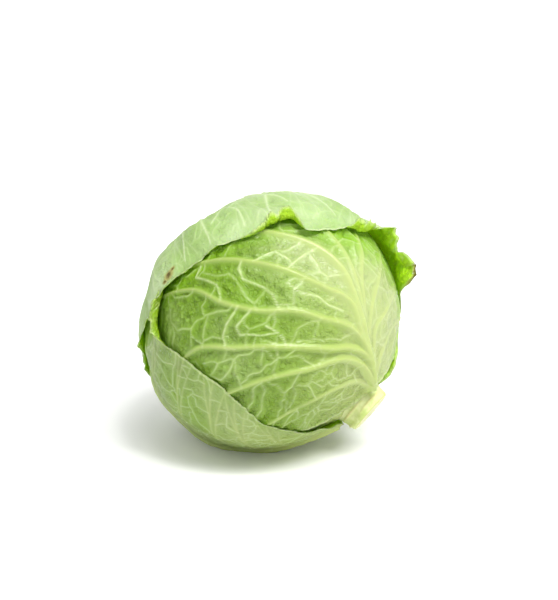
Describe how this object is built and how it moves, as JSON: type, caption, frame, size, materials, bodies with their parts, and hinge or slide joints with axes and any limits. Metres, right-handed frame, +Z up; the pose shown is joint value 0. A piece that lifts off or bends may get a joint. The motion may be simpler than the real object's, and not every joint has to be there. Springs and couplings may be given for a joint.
{
  "type": "cabbage head",
  "caption": "Round green cabbage head lying on its side: cut stalk with a core, tight heart, and veined wrapper leaves that overlap, the outermost with a ruffled flared edge.",
  "frame": {"origin": "middle of the flat spot that the head rests on, straight under the middle of the head", "axes": "+Z up from the table; -Y towards the side that the front leaf faces; +X towards the stalk side, which points right, forward and down"},
  "size_m": [0.1727, 0.1723, 0.1637],
  "materials": {
    "stalk_flesh": "matte",
    "heart_leaf": "satin",
    "pale_leaf": "satin",
    "green_leaf": "satin",
    "cap_leaf": "satin"
  },
  "bodies": {
    "root": {"stalk": "stalk_flesh", "heart": "heart_leaf", "leaf_8_inner": "pale_leaf", "leaf_7_inner": "pale_leaf", "leaf_6_back": "green_leaf", "leaf_5_under": "green_leaf", "leaf_4_right": "green_leaf", "leaf_3_front": "green_leaf", "leaf_2_left": "green_leaf", "leaf_1_cap": "cap_leaf"}
  },
  "joints": []
}
